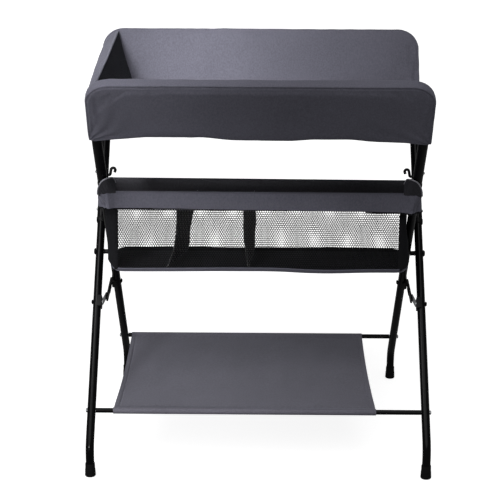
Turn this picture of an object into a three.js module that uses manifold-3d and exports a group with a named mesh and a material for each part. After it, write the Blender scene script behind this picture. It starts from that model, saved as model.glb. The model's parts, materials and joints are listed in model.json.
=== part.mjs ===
// A folding changing table: two crossed tube frames that fold like scissors about one pivot line, a fabric
// changing bed hung between the two top bows, a mesh basket between the legs and a fabric shelf near the floor.
// Millimetres, +Z up, +X to the right, the front faces -Y, origin on the floor at the centre of the footprint.
import * as THREE from 'three';
import { mergeVertices } from 'three/addons/utils/BufferGeometryUtils.js';
import Module from 'manifold-3d';

const wasm = await Module();
wasm.setup();

// ---- driving dimensions -------------------------------------------------------------------------
const PIVOT_HEIGHT = 433;
const LEAN = THREE.MathUtils.degToRad(39.85);      // legs from the vertical
const WALL_LEAN = THREE.MathUtils.degToRad(31);    // padded walls from the vertical
const OUTER_SPACING = 375;                         // centre plane to outer leg
const INNER_SPACING = 344.7;                       // centre plane to inner leg
const FOOT_BEND_HEIGHT = 69;
const WALL_BEND_HEIGHT = 753;
const WALL_TOP_HEIGHT = 901;
const LEG_RADIUS = 9.5;
const LEG_BORE = 8.3;
const BOW_RADIUS = 11;
const BOW_BORE = 9.8;
const BOW_CORNER = 38;
const COVER_OVERHANG = 16;                         // fabric edge beyond the bow's centre line
const COVER_THICKNESS = 24;
const COVER_HEM_HEIGHT = 760;
const RAIL_HEIGHT = 134.6;
const RAIL_RADIUS = 5.5;
const STAY_HEIGHT = 335;
const STAY_DROP = 10;                              // middle joint below the line of the two brackets
const SHELF_LEFT = -326;
const SHELF_RIGHT = 264;
const BASKET_FLOOR_FRONT = 436;                    // the bag's floor drops towards the rear
const BASKET_FLOOR_REAR = 414;
const GAP = 0.3;                                   // between pieces that touch

// Outer frame: front feet to rear bow. Inner frame: rear feet to front bow. `side` is the sign of Y at the top.
const OUTER = { name: 'outer', side: 1, spacing: OUTER_SPACING, sleeveHeight: 500, buttonHeight: 517 };
const INNER = { name: 'inner', side: -1, spacing: INNER_SPACING, sleeveHeight: 645, buttonHeight: 675 };
OUTER.barHeight = 573;
INNER.barHeight = 607;
const SLEEVE_LAP = 55;                             // leg inside the bow's sleeve
const SIDES = [['left', -1], ['right', 1]];

const X_AXIS = new THREE.Vector3(1, 0, 0);
const Y_AXIS = new THREE.Vector3(0, 1, 0);
const Z_AXIS = new THREE.Vector3(0, 0, 1);

// ---- materials ------------------------------------------------------------------------------------
const finish = (color, roughness, metalness) => () =>
  new THREE.MeshStandardMaterial({ color, roughness, metalness });
const blackPaint = finish(0x0b0b0d, 0.25, 0.6);
const zincSteel = finish(0xb9bbbd, 0.35, 1.0);
const blackPlastic = finish(0x131315, 0.55, 0.0);
const blackRubber = finish(0x0f0f10, 0.8, 0.0);
const greyFabric = finish(0x53525d, 0.9, 0.0);
const blackMesh = finish(0x141416, 0.9, 0.0);

// ---- geometry helpers ------------------------------------------------------------------------------
const groups = {};
const model = new THREE.Group();

function add(groupName, name, geometry, material, position = [0, 0, 0], rotation = [0, 0, 0]) {
  if (!groups[groupName]) {
    groups[groupName] = new THREE.Group();
    model.add(groups[groupName]);
  }
  const mesh = new THREE.Mesh(geometry, material());
  mesh.name = name;
  mesh.position.set(...position);
  mesh.rotation.set(...rotation);
  groups[groupName].add(mesh);
}

function toSolid(geometry) {
  const bare = geometry.clone();
  bare.deleteAttribute('normal');
  bare.deleteAttribute('uv');
  const merged = mergeVertices(bare, 1e-4);
  return new wasm.Manifold(new wasm.Mesh({
    numProp: 3,
    vertProperties: new Float32Array(merged.attributes.position.array),
    triVerts: new Uint32Array(merged.index.array),
  }));
}

function fromSolid(solid) {
  const mesh = solid.getMesh();
  const geometry = new THREE.BufferGeometry();
  geometry.setAttribute('position', new THREE.BufferAttribute(new Float32Array(mesh.vertProperties), 3));
  geometry.setIndex(new THREE.BufferAttribute(new Uint32Array(mesh.triVerts), 1));
  return geometry;
}

function cut(geometry, tools) {
  const solid = tools.reduce((left, tool) => left.subtract(toSolid(tool)), toSolid(geometry));
  return fromSolid(solid);
}

function join(pieces) {
  return fromSolid(pieces.map(toSolid).reduce((sum, piece) => sum.add(piece)));
}

// A straight-and-arc path with a station only where the section has to turn.
class BentPath extends THREE.Curve {
  constructor(corners, radii, arcSteps = 5) {
    super();
    this.stations = [];
    const direction = (a, b) => b.clone().sub(a).normalize();
    this.addStation(corners[0], direction(corners[0], corners[1]));
    for (let i = 1; i < corners.length - 1; i++) {
      const before = direction(corners[i - 1], corners[i]);
      const after = direction(corners[i], corners[i + 1]);
      const turn = before.angleTo(after);
      const axis = before.clone().cross(after).normalize();
      const start = corners[i].clone().addScaledVector(before, -radii[i] * Math.tan(turn / 2));
      const centre = start.clone().addScaledVector(axis.clone().cross(before), radii[i]);
      const steps = Math.max(2, Math.ceil(arcSteps * turn / (Math.PI / 2)));
      for (let k = 0; k <= steps; k++) {
        const angle = turn * k / steps;
        const point = start.clone().sub(centre).applyAxisAngle(axis, angle).add(centre);
        this.addStation(point, before.clone().applyAxisAngle(axis, angle));
      }
    }
    const last = corners.length - 1;
    this.addStation(corners[last], direction(corners[last - 1], corners[last]));
    this.steps = this.stations.length - 1;
  }
  addStation(point, tangent) {
    this.stations.push({ point: point.clone(), tangent: tangent.clone() });
  }
  getPointAt(u, target = new THREE.Vector3()) {
    return target.copy(this.stations[Math.round(u * this.steps)].point);
  }
  getTangentAt(u, target = new THREE.Vector3()) {
    return target.copy(this.stations[Math.round(u * this.steps)].tangent);
  }
}

function ringOutline(radius, sides = 12) {
  return Array.from({ length: sides }, (_, i) => {
    const angle = 2 * Math.PI * (i + 0.5) / sides;
    return new THREE.Vector2(radius * Math.cos(angle), radius * Math.sin(angle));
  });
}

function pipe(path, outerRadius, innerRadius = 0, sides = 12) {
  const section = new THREE.Shape(ringOutline(outerRadius, sides));
  if (innerRadius > 0) section.holes.push(new THREE.Path(ringOutline(innerRadius, sides).reverse()));
  return new THREE.ExtrudeGeometry(section, { steps: path.steps, extrudePath: path });
}

// A cutting tool is made a little wider, so that its flats and not its corners have the stated radius.
const clear = (radius, sides = 12) => radius / Math.cos(Math.PI / sides);

// A round bar between two points.
function rod(from, to, radius, sides = 12) {
  const length = from.distanceTo(to);
  const geometry = new THREE.CylinderGeometry(radius, radius, length, sides);
  geometry.applyQuaternion(new THREE.Quaternion().setFromUnitVectors(Y_AXIS, to.clone().sub(from).normalize()));
  geometry.translate(...from.clone().add(to).multiplyScalar(0.5).toArray());
  return geometry;
}

// A turned piece along +X, from [distance along X, radius] pairs.
function turned(profile, sides = 12) {
  const geometry = new THREE.LatheGeometry(profile.map(([x, r]) => new THREE.Vector2(r, x)), sides);
  geometry.rotateZ(-Math.PI / 2);
  return geometry;
}

// A flat plate in the YZ plane, `thickness` along +X from x.
function plate(outline, x, thickness, holes = []) {
  const shape = new THREE.Shape(outline.map(([y, z]) => new THREE.Vector2(y, z)));
  for (const [y, z, radius] of holes) {
    const ring = ringOutline(radius, 10).reverse().map((p) => p.add(new THREE.Vector2(y, z)));
    shape.holes.push(new THREE.Path(ring));
  }
  const geometry = new THREE.ExtrudeGeometry(shape, { depth: thickness, bevelEnabled: false });
  geometry.applyMatrix4(new THREE.Matrix4().makeBasis(Y_AXIS, Z_AXIS, X_AXIS));
  geometry.translate(x, 0, 0);
  return geometry;
}

// Stadium outline between two points of the YZ plane.
function slotOutline([y0, z0], [y1, z1], radius, arcSteps = 6) {
  const heading = Math.atan2(z1 - z0, y1 - y0);
  const arc = (y, z, from) => Array.from({ length: arcSteps + 1 }, (_, i) => {
    const angle = from + Math.PI * i / arcSteps;
    return [y + radius * Math.cos(angle), z + radius * Math.sin(angle)];
  });
  return [...arc(y1, z1, heading - Math.PI / 2), ...arc(y0, z0, heading + Math.PI / 2)];
}

// ---- frame layout ----------------------------------------------------------------------------------
const legY = (frame, z) => frame.side * (z - PIVOT_HEIGHT) * Math.tan(LEAN);
const legPoint = (frame, x, z) => new THREE.Vector3(x, legY(frame, z), z);
const wallY = (frame, z) =>
  legY(frame, WALL_BEND_HEIGHT) + frame.side * (z - WALL_BEND_HEIGHT) * Math.tan(WALL_LEAN);
const wallPoint = (frame, x, z) => new THREE.Vector3(x, wallY(frame, z), z);
const bowTopHeight = WALL_TOP_HEIGHT - COVER_OVERHANG * Math.cos(WALL_LEAN);
const tubeTilt = (frame) => -frame.side * LEAN;    // turn about X that lays +Z along a leg

const FOOT_BOTTOM = 5.3;
const FOOT_BEND_RADIUS = 60;
const WALL_BEND_RADIUS = 80;
const PIVOT_HOLE = 4.5;
const STAY_HOLE = 3.4;
const RAIL_HOLE = 2.9;
const BUTTON_HOLE = 3.6;

function crossHole(frame, x, z, radius) {
  const centre = legPoint(frame, x, z);
  const reach = new THREE.Vector3(2 * BOW_RADIUS, 0, 0);
  return rod(centre.clone().sub(reach), centre.clone().add(reach), radius, 10);
}

function legGeometry(frame, sign) {
  const x = sign * frame.spacing;
  const foot = new THREE.Vector3(x, legY(frame, FOOT_BEND_HEIGHT), FOOT_BOTTOM);
  const bend = legPoint(frame, x, FOOT_BEND_HEIGHT);
  const top = legPoint(frame, x, frame.sleeveHeight + SLEEVE_LAP);
  const tube = pipe(new BentPath([foot, bend, top], [0, FOOT_BEND_RADIUS, 0], 6), LEG_RADIUS, LEG_BORE);
  const holes = [
    crossHole(frame, x, PIVOT_HEIGHT, PIVOT_HOLE),
    crossHole(frame, x, STAY_HEIGHT, STAY_HOLE),
    crossHole(frame, x, RAIL_HEIGHT, RAIL_HOLE),
    outwardHole(frame, sign, frame.buttonHeight, BUTTON_HOLE),
  ];
  if (frame.barHeight < frame.sleeveHeight) holes.push(crossHole(frame, x, frame.barHeight, RAIL_HOLE));
  return cut(tube, holes);
}

// A hole through the outward wall of a tube only.
function outwardHole(frame, sign, z, radius) {
  const centre = legPoint(frame, sign * frame.spacing, z);
  return rod(centre, centre.clone().add(new THREE.Vector3(sign * 2 * BOW_RADIUS, 0, 0)), radius, 10);
}

function bowPath(frame) {
  const half = frame.spacing;
  const corners = [
    legPoint(frame, -half, frame.sleeveHeight),
    legPoint(frame, -half, WALL_BEND_HEIGHT),
    wallPoint(frame, -half, bowTopHeight),
    wallPoint(frame, half, bowTopHeight),
    legPoint(frame, half, WALL_BEND_HEIGHT),
    legPoint(frame, half, frame.sleeveHeight),
  ];
  return new BentPath(corners, [0, WALL_BEND_RADIUS, BOW_CORNER, BOW_CORNER, WALL_BEND_RADIUS, 0], 4);
}

function bowGeometry(frame) {
  const holes = [];
  for (const [, sign] of SIDES) {
    holes.push(outwardHole(frame, sign, frame.buttonHeight, BUTTON_HOLE));
    if (frame.barHeight > frame.sleeveHeight) {
      holes.push(crossHole(frame, sign * frame.spacing, frame.barHeight, RAIL_HOLE));
    }
  }
  return cut(pipe(bowPath(frame), BOW_RADIUS, BOW_BORE), holes);
}

// ---- padded wall: a flat cover pulled over the bow, open below where the tube comes out ----------------
const WALL_CORNER = BOW_CORNER + COVER_OVERHANG - 4;

function wallGeometry(frame) {
  const half = frame.spacing + COVER_OVERHANG;
  const slope = (z) => (z - WALL_BEND_HEIGHT) / Math.cos(WALL_LEAN);
  const low = slope(COVER_HEM_HEIGHT);
  const high = slope(WALL_TOP_HEIGHT);
  const outline = new THREE.Shape();
  outline.moveTo(-half, low);
  outline.lineTo(half, low);
  outline.lineTo(half, high - WALL_CORNER);
  outline.absarc(half - WALL_CORNER, high - WALL_CORNER, WALL_CORNER, 0, Math.PI / 2);
  outline.absarc(-half + WALL_CORNER, high - WALL_CORNER, WALL_CORNER, Math.PI / 2, Math.PI);
  const slab = new THREE.ExtrudeGeometry(outline, {
    depth: COVER_THICKNESS, bevelEnabled: false, curveSegments: 4,
  });
  slab.translate(0, 0, -COVER_THICKNESS / 2);
  const up = new THREE.Vector3(0, frame.side * Math.sin(WALL_LEAN), Math.cos(WALL_LEAN));
  slab.applyMatrix4(new THREE.Matrix4().makeBasis(X_AXIS, up, X_AXIS.clone().cross(up)));
  slab.translate(0, legY(frame, WALL_BEND_HEIGHT), WALL_BEND_HEIGHT);
  return cut(slab, [pipe(bowPath(frame), BOW_RADIUS + GAP)]);
}

// ---- rails and their bolts ----------------------------------------------------------------------------
const RAIL_BORE_DEPTH = 26;

function railGeometry(half, radius) {
  const end = new THREE.Vector3(half, 0, 0);
  const bar = rod(end.clone().negate(), end, radius);
  const bores = SIDES.map(([, sign]) => rod(
    new THREE.Vector3(sign * (half - RAIL_BORE_DEPTH), 0, 0),
    new THREE.Vector3(sign * (half + 5), 0, 0), RAIL_HOLE, 8));
  return cut(bar, bores);
}

// Domed bolt along -X: head outside x = 0, shank running inwards.
function boltGeometry(shankRadius, shankLength, headRadius, headHeight) {
  return turned([
    [-shankLength, 0], [-shankLength, shankRadius], [GAP, shankRadius], [GAP, headRadius],
    [GAP + headHeight * 0.4, headRadius], [GAP + headHeight * 0.85, headRadius * 0.65], [GAP + headHeight, 0],
  ]);
}

// Places a piece made along +X on the outward (or inward) side of a tube.
function addOnTube(group, name, geometry, material, frame, sign, z, offset, facing = 1) {
  const x = sign * frame.spacing + sign * facing * offset;
  const turn = sign * facing > 0 ? 0 : Math.PI;
  add(group, name, geometry, material, [x, legY(frame, z), z], [0, 0, turn]);
}

function addFrame(frame) {
  const group = frame.name;
  const bowName = frame === OUTER ? 'rear' : 'front';
  const railName = frame === OUTER ? 'front' : 'rear';
  add(group, `${bowName}_bow`, bowGeometry(frame), blackPaint);
  add(group, `${bowName}_wall`, wallGeometry(frame), greyFabric);

  const railHalf = frame.spacing - LEG_RADIUS - GAP;
  const railY = legY(frame, RAIL_HEIGHT);
  add(group, `${railName}_lower_rail`, railGeometry(railHalf, RAIL_RADIUS), blackPaint, [0, railY, RAIL_HEIGHT]);

  const barTube = frame.barHeight > frame.sleeveHeight ? BOW_RADIUS : LEG_RADIUS;
  const barHalf = frame.spacing - barTube - GAP;
  const barY = legY(frame, frame.barHeight);
  add(group, `${bowName}_basket_bar`, railGeometry(barHalf, RAIL_RADIUS), blackPaint,
    [0, barY, frame.barHeight]);

  for (const [sideName, sign] of SIDES) {
    const x = sign * frame.spacing;
    add(group, `${frame.name}_leg_${sideName}`, legGeometry(frame, sign), blackPaint);
    add(group, `${frame.name}_foot_${sideName}`, footGeometry(), blackRubber,
      [x, legY(frame, FOOT_BEND_HEIGHT), 0]);
    add(group, `${frame.name}_sleeve_collar_${sideName}`, collarGeometry(), blackPlastic,
      legPoint(frame, x, frame.sleeveHeight).toArray(), [tubeTilt(frame), 0, 0]);
    addOnTube(group, `${railName}_rail_bolt_${sideName}`,
      boltGeometry(2.5, 2 * LEG_RADIUS + 20, 5, 3.2), zincSteel, frame, sign, RAIL_HEIGHT, LEG_RADIUS);
    addOnTube(group, `${bowName}_bar_bolt_${sideName}`,
      boltGeometry(2.5, 2 * barTube + 20, 5, 3.2), zincSteel, frame, sign, frame.barHeight, barTube);
    addStayBracket(frame, sideName, sign);
    add(`${frame.name}_button_${sideName}`, `${frame.name}_snap_button_${sideName}`, buttonGeometry(), zincSteel,
      [x, legY(frame, frame.buttonHeight), frame.buttonHeight], [0, 0, sign > 0 ? 0 : Math.PI]);
  }
}

// Rubber cap pushed over the foot of a leg.
function footGeometry() {
  const bore = clear(LEG_RADIUS + GAP, 14);
  const profile = [[0, 0], [10.5, 0], [12, 1.6], [11.6, 10], [10.9, 28], [10.9, 31], [bore, 31], [bore, 5], [0, 5]];
  const geometry = new THREE.LatheGeometry(profile.map(([r, z]) => new THREE.Vector2(r, z)), 14);
  geometry.rotateX(Math.PI / 2);
  return geometry;
}

// Plastic collar that closes the mouth of the sleeve, just below the bow's end. Its axis is Z.
function collarGeometry() {
  const bore = clear(LEG_RADIUS + GAP, 14);
  const profile = [[bore, -13], [bore + 1.2, -12.4], [BOW_RADIUS + 0.9, -7], [BOW_RADIUS + 0.9, -GAP], [bore, -GAP],
    [bore, -13]];
  const geometry = new THREE.LatheGeometry(profile.map(([r, z]) => new THREE.Vector2(r, z)), 14);
  geometry.rotateX(Math.PI / 2);
  return geometry;
}

// Spring snap button: its flange is inside the leg and its round tip comes out through leg and sleeve.
const BUTTON_TRAVEL = 2.5;
function buttonGeometry() {
  const tip = BOW_RADIUS + BUTTON_TRAVEL;
  return turned([[1.8, 0], [1.8, 4.6], [3.4, 4.6], [3.4, 3.2], [tip - 1.6, 3.2], [tip - 0.5, 2.2], [tip, 0]]);
}

// ---- fold stays ------------------------------------------------------------------------------------------
// Between each pair of legs: a plated link on the outer leg, a black link on the inner leg, a latch on the black one.
const SILVER_X = [361.2, 363.6];
const BLACK_X = [356.7, 360.6];
const stayPinY = Math.abs(legY(OUTER, STAY_HEIGHT));
const stayMiddle = [0, STAY_HEIGHT - STAY_DROP];

function addStayBracket(frame, sideName, sign) {
  const faceX = frame === OUTER ? SILVER_X[1] + GAP : BLACK_X[0] - GAP;
  const axisX = frame.spacing;
  const facing = frame === OUTER ? -1 : 1;            // towards the other leg
  const y = legY(frame, STAY_HEIGHT);
  const width = Math.abs(axisX - faceX);
  const block = new THREE.BoxGeometry(width, 2 * LEG_RADIUS + 5, 26);
  block.rotateX(tubeTilt(frame));
  block.translate(Math.min(axisX, faceX) + width / 2, y, STAY_HEIGHT);
  const along = new THREE.Vector3(0, frame.side * Math.sin(LEAN), Math.cos(LEAN)).multiplyScalar(40);
  const centre = legPoint(frame, axisX, STAY_HEIGHT);
  const tube = rod(centre.clone().sub(along), centre.clone().add(along), clear(LEG_RADIUS + GAP, 14), 14);
  const saddle = cut(block, [tube, crossHole(frame, axisX, STAY_HEIGHT, STAY_HOLE)]);
  add(frame.name, `${frame.name}_stay_bracket_${sideName}`, mirrorX(saddle, sign), blackPlastic);

  const linkFar = frame === OUTER ? SILVER_X[0] : BLACK_X[1];
  const shank = LEG_RADIUS + Math.abs(linkFar - axisX);
  addOnTube(frame.name, `${frame.name}_stay_bolt_${sideName}`, boltGeometry(3, shank, 5.5, 3.4),
    blackPaint, frame, sign, STAY_HEIGHT, LEG_RADIUS, -facing);
}

function mirrorX(geometry, sign) {
  if (sign > 0) return geometry;
  const position = geometry.attributes.position;
  for (let i = 0; i < position.count; i++) position.setX(i, -position.getX(i));
  const flipped = geometry.index ? geometry.toNonIndexed() : geometry;
  const flip = flipped.attributes.position;
  for (let i = 0; i < flip.count; i += 3) {
    const a = [flip.getX(i), flip.getY(i), flip.getZ(i)];
    flip.setXYZ(i, flip.getX(i + 1), flip.getY(i + 1), flip.getZ(i + 1));
    flip.setXYZ(i + 1, ...a);
  }
  return flipped;
}

function addStay(sideName, sign) {
  const outerPin = [-stayPinY, STAY_HEIGHT];
  const innerPin = [stayPinY, STAY_HEIGHT];
  const silver = plate(slotOutline(outerPin, stayMiddle, 7), SILVER_X[0], SILVER_X[1] - SILVER_X[0],
    [[...outerPin, STAY_HOLE]]);
  const rivetHead = turned([[SILVER_X[1] - 1, 0], [SILVER_X[1] - 1, 4.6], [SILVER_X[1] + 0.8, 4.6],
    [SILVER_X[1] + 1.4, 0]]).translate(0, ...stayMiddle);
  add(`silver_${sideName}`, `stay_silver_link_${sideName}`, mirrorX(join([silver, rivetHead]), sign), zincSteel);

  // The black link carries on past the middle joint as a hood over the silver one and has a window for the latch.
  const reach = 16;
  const heading = Math.atan2(STAY_DROP, stayPinY);
  const hoodEnd = [-reach * Math.cos(heading), stayMiddle[1] - reach * Math.sin(heading)];
  const along = (t) => [t * stayPinY, stayMiddle[1] + t * STAY_DROP];
  const window = plate(slotOutline(along(0.3), along(0.56), 3.2, 4), BLACK_X[0] - 1, BLACK_X[1] - BLACK_X[0] + 2);
  const black = cut(plate(slotOutline(hoodEnd, innerPin, 8), BLACK_X[0], BLACK_X[1] - BLACK_X[0],
    [[...innerPin, STAY_HOLE]]), [window]);
  add(`black_${sideName}`, `stay_black_link_${sideName}`, mirrorX(black, sign), blackPaint);

  // The latch is a tab in the window with a thumb pad on the inner face of the link.
  const tab = plate(slotOutline(along(0.36), along(0.42), 2.8, 4), BLACK_X[0] - 0.8, BLACK_X[1] - BLACK_X[0]);
  const pad = plate(slotOutline(along(0.2), along(0.6), 4.2, 4), BLACK_X[0] - 1.9, 1.5);
  add(`latch_${sideName}`, `stay_latch_${sideName}`, mirrorX(join([tab, pad]), sign), blackPlastic);
}

// ---- pivots -------------------------------------------------------------------------------------------------
function addPivot(sideName, sign) {
  const turn = [0, 0, sign > 0 ? 0 : Math.PI];
  const outerFace = OUTER_SPACING + LEG_RADIUS;
  const innerFace = INNER_SPACING - LEG_RADIUS;
  const legGapStart = INNER_SPACING + LEG_RADIUS + GAP;
  const legGapEnd = OUTER_SPACING - LEG_RADIUS - GAP;
  const place = (x) => [sign * x, 0, PIVOT_HEIGHT];
  const grip = outerFace - innerFace + GAP;
  const rivet = turned([[-grip - 3.4, 0], [-grip - 2.6, 5], [-grip, 7], [-grip, 4], [GAP, 4], [GAP, 7.5],
    [GAP + 1.7, 7.5], [GAP + 3.6, 5], [GAP + 4.2, 0]]);
  add('centre', `pivot_rivet_${sideName}`, rivet, blackPaint, place(outerFace), turn);
  const spacer = turned([[0, 4.4], [0, 6.2], [2, 5.4], [8, 5.4], [legGapEnd - legGapStart, 6.2],
    [legGapEnd - legGapStart, 4.4], [0, 4.4]]);
  add('centre', `pivot_spacer_${sideName}`, spacer, blackPlastic, place(legGapStart), turn);
}

// ---- fabric pieces --------------------------------------------------------------------------------------------
// Floor of the changing bed, in two padded halves with the fold between them.
const BED_LOW = 760;
const BED_THICKNESS = 12;
const BED_HALF_WIDTH = 346;
const coverHalfY = COVER_THICKNESS / 2 / Math.cos(WALL_LEAN);
const bedDepth = wallY(OUTER, BED_LOW) - coverHalfY - 2;

function addBed() {
  for (const [name, sign] of [['front', -1], ['rear', 1]]) {
    const half = new THREE.BoxGeometry(2 * BED_HALF_WIDTH, bedDepth - 0.5, BED_THICKNESS);
    add('centre', `bed_floor_${name}`, half, greyFabric,
      [0, sign * (bedDepth + 0.5) / 2, BED_LOW + BED_THICKNESS / 2]);
  }
  // The end wall closes the left end only. Its top hem runs straight from bow to bow.
  const thickness = 4;
  const inset = coverHalfY + 2;
  const low = COVER_HEM_HEIGHT;
  const high = WALL_TOP_HEIGHT - 6;
  const depthAt = (z) => wallY(OUTER, z) - inset;
  const outline = [[-depthAt(low), low], [depthAt(low), low], [depthAt(high), high], [-depthAt(high), high]];
  const skew = Math.atan2(OUTER_SPACING - INNER_SPACING, 2 * depthAt(high));
  add('centre', 'end_wall', plate(outline, -thickness / 2, thickness), greyFabric,
    [-(OUTER_SPACING + INNER_SPACING) / 2, 0, 0], [0, 0, skew]);
}

// Shelf slung between the two lower rails, hemmed round each of them.
const SHELF_THICKNESS = 3;
function addShelf() {
  const railY = Math.abs(legY(OUTER, RAIL_HEIGHT));
  const hemRadius = RAIL_RADIUS + 2;
  const length = SHELF_RIGHT - SHELF_LEFT;
  const web = new THREE.BoxGeometry(length, 2 * railY, SHELF_THICKNESS);
  web.translate((SHELF_LEFT + SHELF_RIGHT) / 2, 0, RAIL_HEIGHT);
  const ends = (radius, over) => [-1, 1].map((side) => rod(
    new THREE.Vector3(SHELF_LEFT - over, side * railY, RAIL_HEIGHT),
    new THREE.Vector3(SHELF_RIGHT + over, side * railY, RAIL_HEIGHT), radius));
  const cloth = cut(join([web, ...ends(hemRadius, 0)]), ends(clear(RAIL_RADIUS + GAP), 5));
  add('centre', 'lower_shelf', cloth, greyFabric);
}

// Basket: two fabric rims that turn on the basket bars, and a mesh bag with two dividers between them.
const RIM_LENGTH = 2 * (INNER_SPACING - LEG_RADIUS - 3);
const RIM_DROP = 33;
const RIM_THICKNESS = 15;
const BAG_WALL = 4;

function addRim(frame) {
  const bowName = frame === OUTER ? 'rear' : 'front';
  const radius = RIM_THICKNESS / 2 + 1.5;
  const hem = rod(new THREE.Vector3(-RIM_LENGTH / 2, 0, 0), new THREE.Vector3(RIM_LENGTH / 2, 0, 0), radius);
  const band = new THREE.BoxGeometry(RIM_LENGTH, RIM_THICKNESS, RIM_DROP);
  band.translate(0, 0, -RIM_DROP / 2);
  const bore = rod(new THREE.Vector3(-RIM_LENGTH, 0, 0), new THREE.Vector3(RIM_LENGTH, 0, 0),
    clear(RAIL_RADIUS + GAP));
  add(`${bowName}_rim`, `${bowName}_basket_rim`, cut(join([hem, band]), [bore]), greyFabric,
    [0, legY(frame, frame.barHeight), frame.barHeight]);
}

function addBasket() {
  addRim(OUTER);
  addRim(INNER);
  const half = RIM_LENGTH / 2 - 4;
  const inset = RIM_THICKNESS / 2 + 3;
  const taper = 8;                                 // each long wall leans in this much by the floor
  const below = 4;                                 // the bag's edge is tucked this far below the bars
  const front = { y: legY(INNER, INNER.barHeight) + inset, sign: 1, floor: BASKET_FLOOR_FRONT,
    top: INNER.barHeight - below };
  const rear = { y: legY(OUTER, OUTER.barHeight) - inset, sign: -1, floor: BASKET_FLOOR_REAR,
    top: OUTER.barHeight - below };
  // A point of the long wall `edge`, `t` up from the floor, `wall` inside its outer face and `lift` above it.
  const wallEdge = (edge, t, wall = 0, lift = 0) => [
    edge.y + edge.sign * (taper * (1 - t) + wall),
    edge.floor + t * (edge.top - edge.floor) + lift,
  ];
  const shell = plate([wallEdge(front, 0), wallEdge(rear, 0), wallEdge(rear, 1), wallEdge(front, 1)],
    -half, 2 * half);
  const bays = [[-half + BAG_WALL, -180], [-180 + BAG_WALL, -24], [-24 + BAG_WALL, half - BAG_WALL]];
  const hollows = bays.map(([from, to]) => plate([
    wallEdge(front, 0, BAG_WALL, BAG_WALL), wallEdge(rear, 0, BAG_WALL, BAG_WALL),
    wallEdge(rear, 1.1, BAG_WALL), wallEdge(front, 1.1, BAG_WALL),
  ], from, to - from));
  add('basket', 'basket_bag', cut(shell, hollows), blackMesh);
}

// Small hooks on the rear bow's sleeves that take the basket's corner loops.
function addHook(sideName, sign) {
  const thickness = 5;
  const outline = [[-3, 0], [6, 0], [6, 14], [1, 18], [-6, 19], [-13, 14], [-15, 6], [-11.5, 5], [-9.5, 11], [-5, 14],
    [-1, 13], [-3, 8]];
  const hook = plate(outline, -thickness / 2, thickness);
  const z = OUTER.barHeight + 14;
  add('outer', `basket_hook_${sideName}`, hook, blackPlastic,
    [sign * (OUTER_SPACING - BOW_RADIUS - GAP - thickness / 2), legY(OUTER, z), z]);
}

addFrame(OUTER);
addFrame(INNER);
for (const [sideName, sign] of SIDES) {
  addPivot(sideName, sign);
  addStay(sideName, sign);
  addHook(sideName, sign);
}
addBed();
addShelf();
addBasket();

export default model;
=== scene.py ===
import json
import math
import bpy
from mathutils import Matrix, Quaternion, Vector, noise

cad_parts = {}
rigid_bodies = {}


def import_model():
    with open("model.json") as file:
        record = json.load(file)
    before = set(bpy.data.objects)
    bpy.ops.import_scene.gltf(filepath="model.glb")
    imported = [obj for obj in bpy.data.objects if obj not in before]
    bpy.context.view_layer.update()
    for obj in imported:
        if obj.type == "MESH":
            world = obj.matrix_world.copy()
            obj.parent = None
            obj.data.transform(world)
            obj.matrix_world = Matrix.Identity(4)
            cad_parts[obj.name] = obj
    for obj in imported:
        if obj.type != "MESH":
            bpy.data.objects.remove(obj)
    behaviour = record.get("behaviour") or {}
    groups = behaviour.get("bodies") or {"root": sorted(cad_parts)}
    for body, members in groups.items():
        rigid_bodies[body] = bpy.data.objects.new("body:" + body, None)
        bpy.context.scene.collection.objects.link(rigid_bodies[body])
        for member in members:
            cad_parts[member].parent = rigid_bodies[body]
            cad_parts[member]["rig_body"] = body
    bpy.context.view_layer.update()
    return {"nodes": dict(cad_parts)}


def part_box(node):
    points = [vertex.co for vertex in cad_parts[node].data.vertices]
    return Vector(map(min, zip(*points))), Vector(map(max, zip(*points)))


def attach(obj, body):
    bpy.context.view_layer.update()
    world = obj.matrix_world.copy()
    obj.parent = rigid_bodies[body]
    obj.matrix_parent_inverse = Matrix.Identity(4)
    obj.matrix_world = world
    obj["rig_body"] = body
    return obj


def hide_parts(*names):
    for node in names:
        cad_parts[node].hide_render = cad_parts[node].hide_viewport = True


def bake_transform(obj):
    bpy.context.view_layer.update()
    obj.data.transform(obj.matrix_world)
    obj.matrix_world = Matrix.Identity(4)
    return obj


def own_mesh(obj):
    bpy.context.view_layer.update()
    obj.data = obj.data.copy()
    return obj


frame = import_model()

# ---- Camera and studio ---------------------------------------------------------------------------
# A long lens 3.3 m in front of the table, a little above it, looking down 16.6 degrees.
# A pale floor that runs out of sight, and a pale surround. One broad sun lamp gives the soft light, and
# a small lamp and two soft spots from the front left lift the rear wall and the shelf.
camera_data = bpy.data.cameras.new("camera")
camera_data.lens = 106.23
camera_data.sensor_width = 36
camera_data.clip_end = 60
camera = bpy.data.objects.new("camera", camera_data)
bpy.context.scene.collection.objects.link(camera)
look_down = math.radians(16.648)
turn_right = math.radians(-0.402)
roll = math.radians(0.243)
camera.matrix_world = (
    Matrix.Translation((0.0012, -3.3208, 1.4315))
    @ Matrix.Rotation(-turn_right, 4, "Z")
    @ Matrix.Rotation(math.pi / 2 - look_down, 4, "X")
    @ Matrix.Rotation(roll, 4, "Z")
)
bpy.context.scene.camera = camera

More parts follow.
